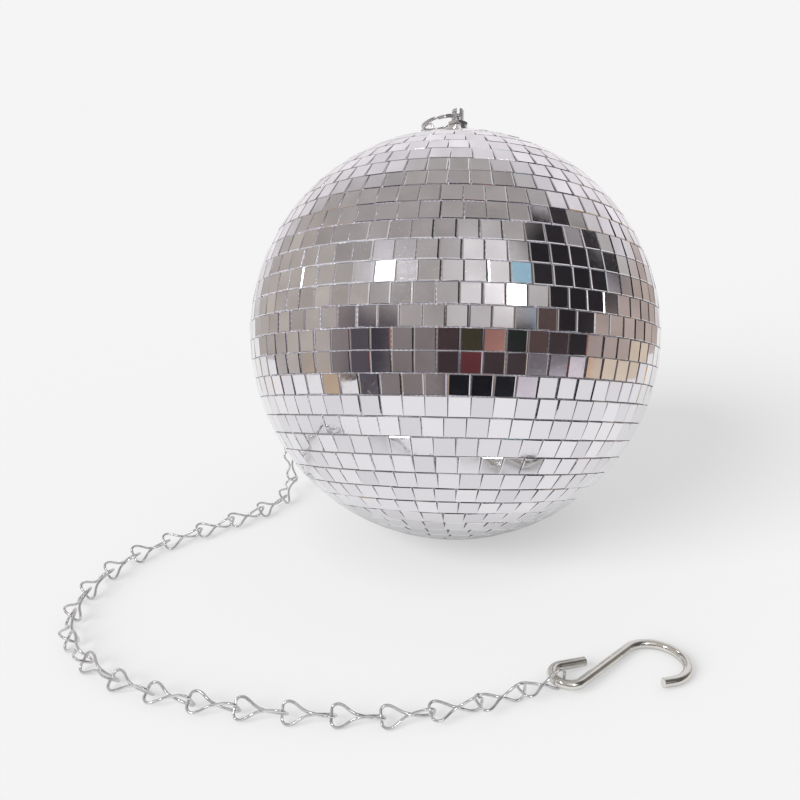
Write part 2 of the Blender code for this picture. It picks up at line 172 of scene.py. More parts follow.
key = bpy.data.objects.new("key", bpy.data.lights.new("key", "SUN"))
key.data.energy = KEY_STRENGTH
key.data.angle = KEY_WIDTH
key.data.specular_factor = 0.0
key.rotation_euler = (math.pi / 2 - KEY_HEIGHT, 0.0, KEY_HEADING)
key.visible_glossy = False
bpy.context.scene.collection.objects.link(key)

# ------------------------------------------------------------------ the room
# The room that the mirrors show: a white wall and ceiling behind, a dim ceiling in front, a dark
# doorway with furniture behind the viewer, dark shelves on the right and two ceiling spots.
ROOM_RADIUS = 4.0
ROOM_CENTRE = Vector((0.0, 0.0, 0.1))
CEILING_DARK = "9a9692"              # the dim ceiling and walls between the patches
CEILING_LIGHT = "c0bcb8"
# name: heading from the front towards the right, its half width, height, its half height, edge
# softness, all in degrees, then the colour and how strongly it shines
ROOM_PATCHES = [
    ("back_wall", 169, 50, 20, 34, 10, "f3f0f3", 1.0),
    ("left_wall", -94, 40, 8, 24, 8, "bfb8b0", 1.0),
    ("front_low", -10, 58, 0, 20, 3, "8b8382", 1.0),
    ("ceiling_bright", 22, 26, 46, 22, 9, "e6e3e2", 1.0),
    ("spot_left_glow", -52, 13, 45, 10, 7, "e2e0e4", 1.1),
    ("spot_right_glow", 28, 12, 34, 8, 6, "f6f3f3", 1.15),
    ("lower_part", 0, 181, -60, 44, 3, "e9e4eb", 1.0),
    ("shelves_right", 80, 29, 26, 32, 2, "2b282c", 1.0),
    ("shelf_edge", 99, 2.2, 26, 30, 1.0, "a9a5a6", 1.0),
    ("door_left", -51, 12, 3, 18, 1.5, "59535a", 1.0),
    ("door_left_edge", -42, 2, 3, 16, 1.5, "3c3a42", 1.0),
    ("doorway", 23, 35, 5, 15, 1.2, "42383a", 1.0),
    ("sofa_olive", 5, 4, 15, 5, 1, "3f3c2c", 1.0),
    ("cushion_salmon", 17, 4, 15, 5, 1, "b48478", 1.0),
    ("curtain_red", -10, 3, 14, 6, 1, "a2564c", 1.0),
    ("rug_red", 6, 5, 3, 5, 1, "6e3c40", 1.0),
    ("shadow_green", 33, 5, 12, 7, 1, "262c2a", 1.0),
    ("sill_brown", 46, 5, 14, 7, 1, "5b4a47", 1.0),
    ("box_grey", 48, 15, -1, 4.5, 1.2, "7a767a", 1.0),
    ("trousers", 9, 20, -9, 5.6, 1, "12131b", 1.0),
    ("paper_right", 48, 19, -10, 7, 1.5, "e0d8e0", 1.0),
    ("tan_left", -72, 13, -11, 6, 2, "c6b096", 1.0),
    ("cream_right", 106, 34, -3, 13, 4, "b9aaa2", 1.0),
    ("cream_low", 92, 30, -13, 6, 2, "dcccb8", 1.0),
    ("orange_right", 71, 3, -6, 2.5, 1, "d89a58", 1.0),
    ("window_blue", 47, 5, 42, 4, 1, "8fb4c4", 1.1),
    ("window_blue_low", 41, 3.5, 22, 5, 1, "9cc6e2", 1.0),
    ("spot_left", -49, 4, 43.5, 4, 1.5, "ffffff", 25.0),
    ("spot_right", 29, 3.5, 34, 3.5, 1.5, "fff8f0", 25.0),
]


def room_paint():
    """Light sent back by the room, drawn by heading and height as seen from the ball."""
    material, tree = new_material("room_surroundings")
    place = add_node(tree, "ShaderNodeTexCoord").outputs["Object"]
    split = add_node(tree, "ShaderNodeSeparateXYZ", {"Vector": place})
    front = add_node(tree, "ShaderNodeMath", {0: split.outputs["Y"], 1: -1.0}, operation="MULTIPLY")
    heading = add_node(tree, "ShaderNodeMath", {0: split.outputs["X"], 1: front.outputs[0]},
                       operation="ARCTAN2").outputs[0]
    rise = add_node(tree, "ShaderNodeMath", {0: split.outputs["Z"], 1: ROOM_RADIUS}, operation="DIVIDE")
    height = add_node(tree, "ShaderNodeMath", {0: rise.outputs[0]}, operation="ARCSINE").outputs[0]

    def within(angle, middle, half, soft, wraps):
        offset = add_node(tree, "ShaderNodeMath", {0: angle, 1: math.radians(middle)},
                          operation="SUBTRACT").outputs[0]
        if wraps:
            offset = add_node(tree, "ShaderNodeMath", {0: offset, 1: -math.pi, 2: math.pi},
                              operation="WRAP").outputs[0]
        size = add_node(tree, "ShaderNodeMath", {0: offset}, operation="ABSOLUTE")
        return add_node(tree, "ShaderNodeMapRange",
                        {"Value": size.outputs[0], "From Min": math.radians(half - soft),
                         "From Max": math.radians(half + soft), "To Min": 1.0, "To Max": 0.0},
                        interpolation_type="SMOOTHSTEP").outputs[0]

    blotch = add_node(tree, "ShaderNodeTexNoise", {"Vector": place, "Scale": 2.2, "Detail": 5.0,
                                                   "Roughness": 0.65})
    colour = add_node(tree, "ShaderNodeMix", {0: blotch.outputs["Fac"], 6: linear(CEILING_DARK),
                                              7: linear(CEILING_LIGHT)}, data_type="RGBA").outputs[2]
    for _, middle, half, level, half_height, soft, hex_colour, strength in ROOM_PATCHES:
        shade = [c * strength for c in linear(hex_colour)[:3]] + [1.0]
        share = add_node(tree, "ShaderNodeMath",
                         {0: within(heading, middle, half, soft, True),
                          1: within(height, level, half_height, soft, False)},
                         operation="MULTIPLY").outputs[0]
        colour = add_node(tree, "ShaderNodeMix", {0: share, 6: colour, 7: shade},
                          data_type="RGBA").outputs[2]
    clutter = add_node(tree, "ShaderNodeTexNoise", {"Vector": place, "Scale": 5.0, "Detail": 6.0})
    dapple = add_node(tree, "ShaderNodeMapRange", {"Value": clutter.outputs["Fac"], "From Min": 0.3,
                                                   "From Max": 0.7, "To Min": 0.82, "To Max": 1.14})
    glow = add_node(tree, "ShaderNodeEmission", {"Color": colour, "Strength": dapple.outputs[0]})
    add_node(tree, "ShaderNodeOutputMaterial", {"Surface": glow.outputs["Emission"]})
    return material


deselect_all()
bpy.ops.mesh.primitive_uv_sphere_add(segments=64, ring_count=32, radius=ROOM_RADIUS, location=ROOM_CENTRE)
room = bpy.context.object
room.name = "room"
bpy.ops.object.shade_smooth()
room.data.materials.append(room_paint())
room.visible_camera = False
room.visible_diffuse = False
room.visible_shadow = False
room.visible_transmission = False

# ------------------------------------------------------------------ the ball's own frame
# The pole tile and the spacer collar are both square to the stud, so the line through their
# middles is the ball's axis. The ring's hinge runs across the stud.
BALL_RADIUS = 101.5 * MM
FACE_DISTANCE = 101.32 * MM          # centre to the flat face of a tile
CORE_TO_POLE = 100.5 * MM            # centre to the middle of the pole tile's thickness
ROW_STEP = math.radians(5.2)
ROWS_IN_BAND = 3
BAND_COUNT = 11
REST_ROW = 30


def middle_of(node):
    low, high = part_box(node)
    return (low + high) / 2


def joint_named(name):
    return next(j for j in frame["joints"] if j["name"] == name)


stud_way = (middle_of("spacer_collar") - middle_of("pole_tile")).normalized()
ball_centre = middle_of("pole_tile") + stud_way * CORE_TO_POLE
across_way = Vector(joint_named("ring_in_stud")["axis"])
across_way = (across_way - stud_way * across_way.dot(stud_way)).normalized()
side_way = across_way.cross(stud_way)
BALL = Matrix((side_way, across_way, stud_way)).transposed().to_4x4()
BALL.translation = ball_centre
down_way = BALL.to_3x3().inverted() @ Vector((0.0, 0.0, -1.0))
REST_HEADING = math.atan2(down_way.y, down_way.x)

# ------------------------------------------------------------------ core and backing
# The core is two moulded half shells of black polystyrene. Under the tiles it is covered with the
# grey cotton scrim that the tiles come stuck to, set in contact glue.
BACKING_RADIUS = 100.75 * MM         # glue is squeezed up between the tiles
BACKING_TOP = 0.85 * ROW_STEP        # it stops under the crown plate


def make_scrim():
    """Cotton scrim in dried contact glue: matt grey threads about 1 mm apart, with shiny spots."""
    material, tree = new_material("cotton_scrim_and_glue")
    place = add_node(tree, "ShaderNodeTexCoord").outputs["Object"]
    weave = add_node(tree, "ShaderNodeTexWave", {"Vector": place, "Scale": 160.0, "Distortion": 1.5},
                     wave_type="BANDS", bands_direction="Z")
    cross = add_node(tree, "ShaderNodeTexWave", {"Vector": place, "Scale": 160.0, "Distortion": 1.5},
                     wave_type="BANDS", bands_direction="X")
    both = add_node(tree, "ShaderNodeMath", {0: weave.outputs["Fac"], 1: cross.outputs["Fac"]},
                    operation="MULTIPLY")
    glue = add_node(tree, "ShaderNodeTexNoise", {"Vector": place, "Scale": 120.0, "Detail": 3.0})
    shade = add_node(tree, "ShaderNodeMix", {0: both.outputs[0], 6: linear("77767c"),
                                             7: linear("a9a8af")}, data_type="RGBA")
    gloss = add_node(tree, "ShaderNodeMapRange", {"Value": glue.outputs["Fac"], "To Min": 0.45,
                                                  "To Max": 0.95})
    bump = add_node(tree, "ShaderNodeBump", {"Height": both.outputs[0], "Strength": 0.4,
                                             "Distance": 0.0003})
    shader = add_node(tree, "ShaderNodeBsdfPrincipled",
                      {"Base Color": shade.outputs[2], "Roughness": gloss.outputs[0],
                       "Normal": bump.outputs["Normal"]})
    add_node(tree, "ShaderNodeOutputMaterial", {"Surface": shader.outputs["BSDF"]})
    return material


def make_moulded_plastic():
    """Injection moulded polystyrene: black, satin, with a fine spark-eroded texture."""
    material, tree = new_material("moulded_polystyrene")
    place = add_node(tree, "ShaderNodeTexCoord").outputs["Object"]
    spark = add_node(tree, "ShaderNodeTexNoise", {"Vector": place, "Scale": 1400.0, "Detail": 2.0})
    flow = add_node(tree, "ShaderNodeTexNoise", {"Vector": place, "Scale": 25.0, "Detail": 2.0})
    shade = add_node(tree, "ShaderNodeMix", {0: flow.outputs["Fac"], 6: linear("161618"),
                                             7: linear("242427")}, data_type="RGBA")
    bump = add_node(tree, "ShaderNodeBump", {"Height": spark.outputs["Fac"], "Strength": 0.15,
                                             "Distance": 0.0001})
    shader = add_node(tree, "ShaderNodeBsdfPrincipled",
                      {"Base Color": shade.outputs[2], "Roughness": 0.5,
                       "Normal": bump.outputs["Normal"]})
    add_node(tree, "ShaderNodeOutputMaterial", {"Surface": shader.outputs["BSDF"]})
    return material


def give_material(item, *materials):
    item.data.materials.clear()
    for material in materials:
        item.data.materials.append(material)


def finish_piece(item, place, name, body, slot, *replaced):
    """Bakes a piece's place into its mesh and says what it rides on and stands for."""
    item.name = name
    item.data.transform(place)
    item.matrix_world = Matrix.Identity(4)
    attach(item, body)
    if replaced:
        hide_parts(*replaced)


def select_only(item):
    deselect_all()
    bpy.context.view_layer.objects.active = item
    item.select_set(True)


def edit_mode(item, kind="VERT"):
    select_only(item)
    bpy.ops.object.mode_set(mode="EDIT")
    bpy.ops.mesh.select_mode(type=kind)


def object_mode():
    bpy.ops.object.mode_set(mode="OBJECT")


moulded_plastic = make_moulded_plastic()
for shell in ("core_upper_shell", "core_lower_shell"):
    give_material(frame["nodes"][shell], moulded_plastic)

deselect_all()
bpy.ops.mesh.primitive_uv_sphere_add(segments=96, ring_count=48, radius=BACKING_RADIUS)
backing = bpy.context.object
edit_mode(backing)
bpy.ops.mesh.select_all(action="SELECT")
bpy.ops.mesh.bisect(plane_co=(0.0, 0.0, BACKING_RADIUS * math.cos(BACKING_TOP)),
                    plane_no=(0.0, 0.0, 1.0), clear_outer=True)
object_mode()
bpy.ops.object.shade_smooth()
give_material(backing, make_scrim())
finish_piece(backing, BALL, "tile_backing", "ball", "core")

# ------------------------------------------------------------------ mirror tiles
# Squares of silvered glass under 2 mm thick, scored and snapped from a sheet and laid in rows by
# hand, so no two neighbours lie quite in line. Each shows one small patch of the room.
TILE_THICK = 1.75 * MM
TILE_GAP = 0.42 * MM
TILE_ARRIS = 0.25 * MM               # the snapped edge, ground just enough not to cut
TILT_SPREAD = math.radians(0.55)
TWIST_SHARE = 0.6                    # of the tilt, because a neighbour's edge guides the turn
SHIFT_SPREAD = 0.05 * MM
LOWEST_TILE = -0.06 * MM             # how far the glue lets a tile sink
UNIT_LONG = 10 * MM                  # the size that one tile is modelled at
UNIT_WIDE = 5 * MM
POLE_TILE = (0.72, 1.44)             # the pole tile's size in unit tiles


def make_mirror_glass():
    """Silvered float glass: a clear, near neutral mirror that bends straight lines a very little.

    Its silver has blemishes of about 1.5 mm, and the coat is the dusty front face of the glass,
    which spreads a faint glow round the image of a lamp.
    """
    material, tree = new_material("silvered_float_glass")
    place = add_node(tree, "ShaderNodeTexCoord").outputs["Object"]
    tone = add_node(tree, "ShaderNodeAttribute", attribute_name="tile_tone")
    silver = add_node(tree, "ShaderNodeMix", {0: tone.outputs["Fac"], 6: linear("dad7dc"),
                                              7: linear("edebef")}, data_type="RGBA")
    dust = add_node(tree, "ShaderNodeTexNoise", {"Vector": place, "Scale": 700.0, "Detail": 4.0})
    haze = add_node(tree, "ShaderNodeMapRange", {"Value": dust.outputs["Fac"], "From Min": 0.45,
                                                 "From Max": 0.8, "To Min": 0.02, "To Max": 0.14})
    wave = add_node(tree, "ShaderNodeTexNoise", {"Vector": place, "Scale": 90.0, "Detail": 1.0})
    bump = add_node(tree, "ShaderNodeBump", {"Height": wave.outputs["Fac"], "Strength": 0.05,
                                             "Distance": 0.0004})
    shader = add_node(tree, "ShaderNodeBsdfPrincipled",
                      {"Base Color": silver.outputs[2], "Metallic": 1.0,
                       "Roughness": haze.outputs[0], "Normal": bump.outputs["Normal"],
                       "Coat Weight": 1.0, "Coat Roughness": 0.24})
    add_node(tree, "ShaderNodeOutputMaterial", {"Surface": shader.outputs["BSDF"]})
    return material


def make_cut_edge():
    """The snapped edge of float glass: pale grey and chipped, bright where it catches the light."""
    material, tree = new_material("snapped_glass_edge")
    place = add_node(tree, "ShaderNodeTexCoord").outputs["Object"]
    chips = add_node(tree, "ShaderNodeTexNoise", {"Vector": place, "Scale": 450.0, "Detail": 4.0})
    shade = add_node(tree, "ShaderNodeMix", {0: chips.outputs["Fac"], 6: linear("8e9092"),
                                             7: linear("e2e4e6")}, data_type="RGBA")
    rough = add_node(tree, "ShaderNodeMapRange", {"Value": chips.outputs["Fac"], "To Min": 0.1,
                                                  "To Max": 0.4})
    bump = add_node(tree, "ShaderNodeBump", {"Height": chips.outputs["Fac"], "Strength": 0.5,
                                             "Distance": 0.0002})
    shader = add_node(tree, "ShaderNodeBsdfPrincipled",
                      {"Base Color": shade.outputs[2], "Metallic": 0.25,
                       "Roughness": rough.outputs[0], "Normal": bump.outputs["Normal"]})
    add_node(tree, "ShaderNodeOutputMaterial", {"Surface": shader.outputs["BSDF"]})
    return material


def model_tile():
    """One tile, 10 by 5 before it is widened: a plate with its front edges off, open behind.

    It is widened along its row, so the edges between neighbours come out broader. Looked at from the
    side, that is where one sees into the thickness of the glass and not its silver.
    """
    deselect_all()
    bpy.ops.mesh.primitive_cube_add(size=1.0)
    tile = bpy.context.object
    tile.scale = (UNIT_LONG, UNIT_WIDE, TILE_THICK)
    bpy.ops.object.transform_apply(location=False, rotation=False, scale=True)
    edit_mode(tile, "FACE")
    bpy.ops.mesh.select_all(action="DESELECT")
    shape = bmesh.from_edit_mesh(tile.data)
    for face in shape.faces:
        face.select_set(face.normal.z < -0.5)
    bmesh.update_edit_mesh(tile.data)
    bpy.ops.mesh.delete(type="ONLY_FACE")
    bpy.ops.mesh.select_mode(type="EDGE")
    shape = bmesh.from_edit_mesh(tile.data)
    for edge in shape.edges:
        edge.select_set(all(v.co.z > 0 for v in edge.verts))
    bmesh.update_edit_mesh(tile.data)
    bpy.ops.mesh.bevel(offset=TILE_ARRIS, segments=1)
    object_mode()
    for polygon in tile.data.polygons:
        polygon.material_index = 0 if polygon.normal.z > 0.95 else 1
    tile.data.transform(Matrix.Translation((0, 0, -TILE_THICK / 2)))
    return tile


def tiles_around(row):
    return round(math.tau * math.sin((row + 0.5) * ROW_STEP) / ROW_STEP)


def tile_place(row, turn, width, chance):
    """The matrix that puts the unit tile on the ball, facing out, a little out of true."""
    colatitude = (row + 0.5) * ROW_STEP
    tilt_x, tilt_y, twist = (chance.gauss(0, TILT_SPREAD) for _ in range(3))
    lift = chance.uniform(LOWEST_TILE, 0.0)
    if row == REST_ROW:
        tilt_x = tilt_y = lift = 0.0
    wobble = Matrix.Rotation(tilt_x, 4, "X") @ Matrix.Rotation(tilt_y, 4, "Y")
    wobble = wobble @ Matrix.Rotation(TWIST_SHARE * twist, 4, "Z")
    shift = Matrix.Translation((chance.gauss(0, SHIFT_SPREAD), chance.gauss(0, SHIFT_SPREAD),
                                FACE_DISTANCE + lift))
    height = BALL_RADIUS * ROW_STEP - TILE_GAP
    size = Matrix.Diagonal((height / UNIT_LONG, width / UNIT_WIDE, 1.0, 1.0))
    aim = Matrix.Rotation(turn, 4, "Z") @ Matrix.Rotation(colatitude, 4, "Y")
    return aim @ shift @ wobble @ size


mirror_glass = make_mirror_glass()
cut_edge = make_cut_edge()
unit_tile = model_tile()
chance = random.Random(8)


def lay_row(shape, tone, row, count, start):
    """Adds one row of tiles to a band's mesh and gives each its own tone."""
    width = math.tau * FACE_DISTANCE * math.sin((row + 0.5) * ROW_STEP) / count - TILE_GAP
    for k in range(count):
        first_vertex, first_face = len(shape.verts), len(shape.faces)
        shape.from_mesh(unit_tile.data)
        shape.verts.ensure_lookup_table()
        shape.faces.ensure_lookup_table()
        place = tile_place(row, start + math.tau * k / count, width, chance)
        bmesh.ops.transform(shape, matrix=place, verts=shape.verts[first_vertex:])
        shade = chance.random()
        for face in shape.faces[first_face:]:
            face[tone] = shade


for band in range(BAND_COUNT):
    band_mesh = bpy.data.meshes.new("tiles")
    band_shape = bmesh.new()
    band_tone = band_shape.faces.layers.float.new("tile_tone")
    for row in range(1 + band * ROWS_IN_BAND, 1 + (band + 1) * ROWS_IN_BAND):
        around = tiles_around(row)
        begin = REST_HEADING if row == REST_ROW else chance.uniform(0, math.tau / around)
        lay_row(band_shape, band_tone, row, around, begin)
    band_shape.to_mesh(band_mesh)
    band_shape.free()
    band_piece = bpy.data.objects.new("tiles", band_mesh)
    bpy.context.scene.collection.objects.link(band_piece)
    give_material(band_piece, mirror_glass, cut_edge)
    finish_piece(band_piece, BALL, f"tile_band_{band + 1:02d}", "ball", "mirror_tiles",
                 f"mirror_band_{band + 1:02d}")

# the last tile closes the pole that is opposite the stud
pole_piece = unit_tile
pole_piece.data.transform(Matrix.Diagonal((*POLE_TILE, 1.0, 1.0)))
pole_place = Matrix.Rotation(math.pi, 4, "X") @ Matrix.Translation((0, 0, FACE_DISTANCE))
give_material(pole_piece, mirror_glass, cut_edge)
finish_piece(pole_piece, BALL @ pole_place, "pole_tile_glass", "ball", "mirror_tiles", "pole_tile")

# ------------------------------------------------------------------ crown plate, collar and nuts
# Turned and pressed steel parts on the stud. The collar and the nuts are zinc plated, and the
# crown plate is plain steel that has gone dull. All are clamped together by the crown nut.
# outlines as radius and height above the ball's centre, in millimetres
CROWN = [(3.5, 98.3), (8.3, 98.3), (8.3, 101.4), (9.7, 101.4), (9.7, 102.6), (3.5, 102.6)]
COLLAR = [(3.5, 102.9), (5.2, 102.9), (5.2, 107.6), (3.5, 107.6)]
NUT_FLATS = 9.6 * MM
NUT_BORE = 3.35 * MM
CROWN_NUT = (107.9 * MM, 1.8 * MM)   # foot and thickness
NUT_FACE = 0.98 * NUT_FLATS / 2      # radius of the flat ring left on each face
NUT_CHAMFER = math.radians(30)


def make_steel(name, dark, light, rough_low, rough_high, grain):
    """Bare or plated steel: plating mottled every 6 mm or so, fine grain of about 1 mm, worn gloss."""
    material, tree = new_material(name)
    place = add_node(tree, "ShaderNodeTexCoord").outputs["Object"]
    mottle = add_node(tree, "ShaderNodeTexNoise", {"Vector": place, "Scale": 160.0, "Detail": 5.0,
                                                   "Roughness": 0.6})
    lines = add_node(tree, "ShaderNodeTexNoise", {"Vector": place, "Scale": grain, "Detail": 3.0})
    shade = add_node(tree, "ShaderNodeMix", {0: mottle.outputs["Fac"], 6: linear(dark),
                                             7: linear(light)}, data_type="RGBA")
    rough = add_node(tree, "ShaderNodeMapRange", {"Value": mottle.outputs["Fac"], "From Min": 0.3,
                                                  "From Max": 0.7, "To Min": rough_low,
                                                  "To Max": rough_high})
    bump = add_node(tree, "ShaderNodeBump", {"Height": lines.outputs["Fac"], "Strength": 0.15,
                                             "Distance": 0.0001})
    shader = add_node(tree, "ShaderNodeBsdfPrincipled",
                      {"Base Color": shade.outputs[2], "Metallic": 0.95,
                       "Roughness": rough.outputs[0], "Normal": bump.outputs["Normal"]})
    add_node(tree, "ShaderNodeOutputMaterial", {"Surface": shader.outputs["BSDF"]})
    return material


def turn_profile(profile, steps, arris):
    """A closed outline of (radius, height) in millimetres, spun about the stud's axis."""
    deselect_all()
    mesh = bpy.data.meshes.new("turned")
    count = len(profile)
    mesh.from_pydata([(r * MM, 0.0, z * MM) for r, z in profile],
                     [(k, (k + 1) % count) for k in range(count)], [])
    item = bpy.data.objects.new("turned", mesh)
    bpy.context.scene.collection.objects.link(item)
    edit_mode(item)
    bpy.ops.mesh.select_all(action="SELECT")
    bpy.ops.mesh.spin(steps=steps, angle=math.tau, center=(0, 0, 0), axis=(0, 0, 1))
    bpy.ops.mesh.select_all(action="SELECT")
    bpy.ops.mesh.remove_doubles(threshold=0.005 * MM)
    bpy.ops.mesh.normals_make_consistent(inside=False)
    object_mode()
    soften(item, arris)
    return item


def soften(item, arris):
    """Breaks the sharp edges and shades what is round as round."""
    bevel = item.modifiers.new("arris", "BEVEL")
    bevel.width = arris
    bevel.segments = 2
    bevel.limit_method = "ANGLE"
    bevel.angle_limit = math.radians(40)
    select_only(item)
    bpy.ops.object.modifier_apply(modifier="arris")
    bpy.ops.object.shade_smooth_by_angle(angle=math.radians(35))


def cut_away(item, cutter):
    """Takes the cutter's shape out of the item and removes the cutter."""
    cut = item.modifiers.new("cut", "BOOLEAN")
    cut.operation = "DIFFERENCE"
    cut.object = cutter
    cut.solver = "EXACT"
    select_only(item)
    bpy.ops.object.modifier_apply(modifier="cut")
    bpy.data.objects.remove(cutter, do_unlink=True)


def hex_nut(foot, thick):
    """A hexagon with its six corners turned off at 30 degrees on both faces, and a bore."""
    deselect_all()
    corner = NUT_FLATS / math.sqrt(3)
    bpy.ops.mesh.primitive_cylinder_add(vertices=6, radius=corner, depth=thick,
                                        location=(0, 0, foot + thick / 2))
    nut = bpy.context.object
    bpy.ops.object.transform_apply()
    outer = 2 * corner / MM
    flat = NUT_FACE / MM
    reach = corner / MM + 0.5
    drop = (reach - flat) * math.tan(NUT_CHAMFER)
    for face, way in ((foot, -1), (foot + thick, 1)):
        height = face / MM
        wedge = [(flat, height), (flat, height + way), (outer, height + way),
                 (outer, height - way * drop * 1.6), (reach, height - way * drop)]
        cut_away(nut, turn_profile(wedge, 48, 0.001 * MM))
    deselect_all()
    bpy.ops.mesh.primitive_cylinder_add(vertices=48, radius=NUT_BORE, depth=3 * thick,
                                        location=(0, 0, foot + thick / 2))
    cut_away(nut, bpy.context.object)
    soften(nut, 0.08 * MM)
    return nut


# dull, darker grey from a light film of oxide, with soft reflections
plain_steel = make_steel("plain_pressed_steel", "a9a8aa", "d5d3d6", 0.22, 0.4, 700.0)
# brighter and nearly white, with tighter reflections
zinc_plate = make_steel("bright_zinc_plate", "c9c8ca", "eeeded", 0.12, 0.28, 900.0)

crown_plate = turn_profile(CROWN, 64, 0.2 * MM)
give_material(crown_plate, plain_steel)
finish_piece(crown_plate, BALL, "crown_plate_steel", "ball", "steel", "crown_plate")

collar = turn_profile(COLLAR, 64, 0.25 * MM)
give_material(collar, zinc_plate)
finish_piece(collar, BALL, "spacer_collar_zinc", "ball", "zinc", "spacer_collar")

crown_nut = hex_nut(*CROWN_NUT)
give_material(crown_nut, zinc_plate)
finish_piece(crown_nut, BALL, "crown_nut_zinc", "ball", "zinc", "crown_nut")

give_material(frame["nodes"]["inner_nut"], zinc_plate)
give_material(frame["nodes"]["backing_plate"], plain_steel)

# ------------------------------------------------------------------ hanger stud
# A length of quarter inch studding, 20 threads to the inch, slotted for a screwdriver and cross
# drilled for the ring. The thread is rolled, so its crests are rounded and dull.
STUD_FOOT = 86.0 * MM
STUD_TOP = 116.6 * MM
STUD_RADIUS = 3.2 * MM
THREAD_PITCH = 1.27 * MM
THREAD_DEPTH = 0.55 * MM
THREAD_CREST = 1.35                  # above 1 leaves the crests flat
THREAD_RUN_OUT = 0.9 * MM            # over which the thread fades at each end
RINGS_A_TURN = 8
STUD_SIDES = 40
SLOT_WIDTH = 1.5 * MM
SLOT_DEPTH = 3.0 * MM
EYE_HEIGHT = 111.6 * MM
EYE_RADIUS = 1.5 * MM


def model_stud():
    """Extrudes a disc upwards in thin slices, then draws each vertex in to the thread's depth."""
    deselect_all()
    slice_height = THREAD_PITCH / RINGS_A_TURN
    slices = round((STUD_TOP - STUD_FOOT) / slice_height)
    slice_height = (STUD_TOP - STUD_FOOT) / slices
    bpy.ops.mesh.primitive_circle_add(vertices=STUD_SIDES, radius=STUD_RADIUS, fill_type="NGON",
                                      location=(0, 0, STUD_FOOT))
    stud = bpy.context.object
    bpy.ops.object.transform_apply()
    edit_mode(stud, "FACE")
    bpy.ops.mesh.select_all(action="SELECT")
    for _ in range(slices):
        bpy.ops.mesh.extrude_region_move(TRANSFORM_OT_translate={"value": (0, 0, slice_height)})
    bpy.ops.mesh.select_all(action="SELECT")
    bpy.ops.mesh.normals_make_consistent(inside=False)
    object_mode()
    for vertex in stud.data.vertices:
        x, y, z = vertex.co
        if math.hypot(x, y) < 0.5 * STUD_RADIUS:
            continue
        phase = (z / THREAD_PITCH - math.atan2(y, x) / math.tau) % 1.0
        tooth = min(1.0, THREAD_CREST * abs(2 * phase - 1))
        run_out = min(1.0, (STUD_TOP - z) / THREAD_RUN_OUT, (z - STUD_FOOT) / THREAD_RUN_OUT)
        radius = STUD_RADIUS - THREAD_DEPTH * (1 - tooth * run_out)
        vertex.co.x, vertex.co.y = x * radius / STUD_RADIUS, y * radius / STUD_RADIUS
    return stud


stud = model_stud()
deselect_all()
bpy.ops.mesh.primitive_cube_add(size=1.0, location=(0, 0, STUD_TOP))
slot_cutter = bpy.context.object
slot_cutter.scale = (SLOT_WIDTH, 4 * STUD_RADIUS, 2 * SLOT_DEPTH)
cut_away(stud, slot_cutter)
deselect_all()
bpy.ops.mesh.primitive_cylinder_add(vertices=32, radius=EYE_RADIUS, depth=4 * STUD_RADIUS,
                                    location=(0, 0, EYE_HEIGHT), rotation=(math.pi / 2, 0, 0))
cut_away(stud, bpy.context.object)
select_only(stud)
bpy.ops.object.shade_smooth_by_angle(angle=math.radians(50))
# a middling grey, with the oily gloss that a rolled thread keeps
give_material(stud, make_steel("rolled_thread_steel", "b2b3b6", "e4e5e8", 0.16, 0.34, 800.0))
finish_piece(stud, BALL, "hanger_stud_threaded", "ball", "steel", "hanger_stud")

# ------------------------------------------------------------------ split ring
# Two turns of 1 mm spring wire, coiled tight against each other and plated, with each cut end
# lying on the other turn, as on a key ring.
RING_RADIUS = 9.4 * MM
RING_WIRE = 1.0 * MM
RING_POINTS = 72
STEP_START = 0.88 * math.tau         # where the wire steps from one turn to the other
STEP_LENGTH = 0.24 * math.tau
TURN_SPACING = 1.04 * RING_WIRE
ENDS_TURN = math.radians(75)         # from the way out of the stud to the wire's ends


def own_axes(node):
    """A solid's middle and its three axes by spread of its vertices, the longest first."""
    points = np.array([tuple(v.co) for v in frame["nodes"][node].data.vertices])
    points = np.unique(points.round(6), axis=0)
    middle = points.mean(axis=0)
    _, _, ways = np.linalg.svd(points - middle, full_matrices=False)
    return points, Vector(middle), [Vector(way) for way in ways]


def round_wire(name, points, radius, sides, closed):
    """A round wire along points, as a mesh, with capped ends if it is open."""
    curve = bpy.data.curves.new(name, "CURVE")
    curve.dimensions = "3D"
    curve.bevel_depth = radius
    curve.bevel_resolution = sides
    curve.use_fill_caps = not closed
    line = curve.splines.new("POLY")
    line.points.add(len(points) - 1)
    for place, point in zip(line.points, points):
        place.co = (*point, 1.0)
    line.use_cyclic_u = closed
    made = bpy.data.objects.new(name, curve)
    bpy.context.scene.collection.objects.link(made)
    select_only(made)
    bpy.ops.object.convert(target="MESH")
    wire = bpy.context.object
    edit_mode(wire)
    bpy.ops.mesh.select_all(action="SELECT")
    bpy.ops.mesh.remove_doubles(threshold=0.001 * MM)
    bpy.ops.mesh.normals_make_consistent(inside=False)
    object_mode()
    bpy.ops.object.shade_smooth_by_angle(angle=math.radians(50))
    return wire


def ring_coil():
    """Two flat turns, with a smooth step from one to the other over a quarter of a turn."""
    points = []
    for k in range(2 * RING_POINTS + 1):
        angle = math.tau * k / RING_POINTS
        share = min(1.0, max(0.0, (angle - STEP_START) / STEP_LENGTH))
        step = share * share * (3 - 2 * share)
        level = (step - 0.5) * TURN_SPACING
        points.append(Vector((RING_RADIUS * math.cos(angle), RING_RADIUS * math.sin(angle), level)))
    return points[1:-1]


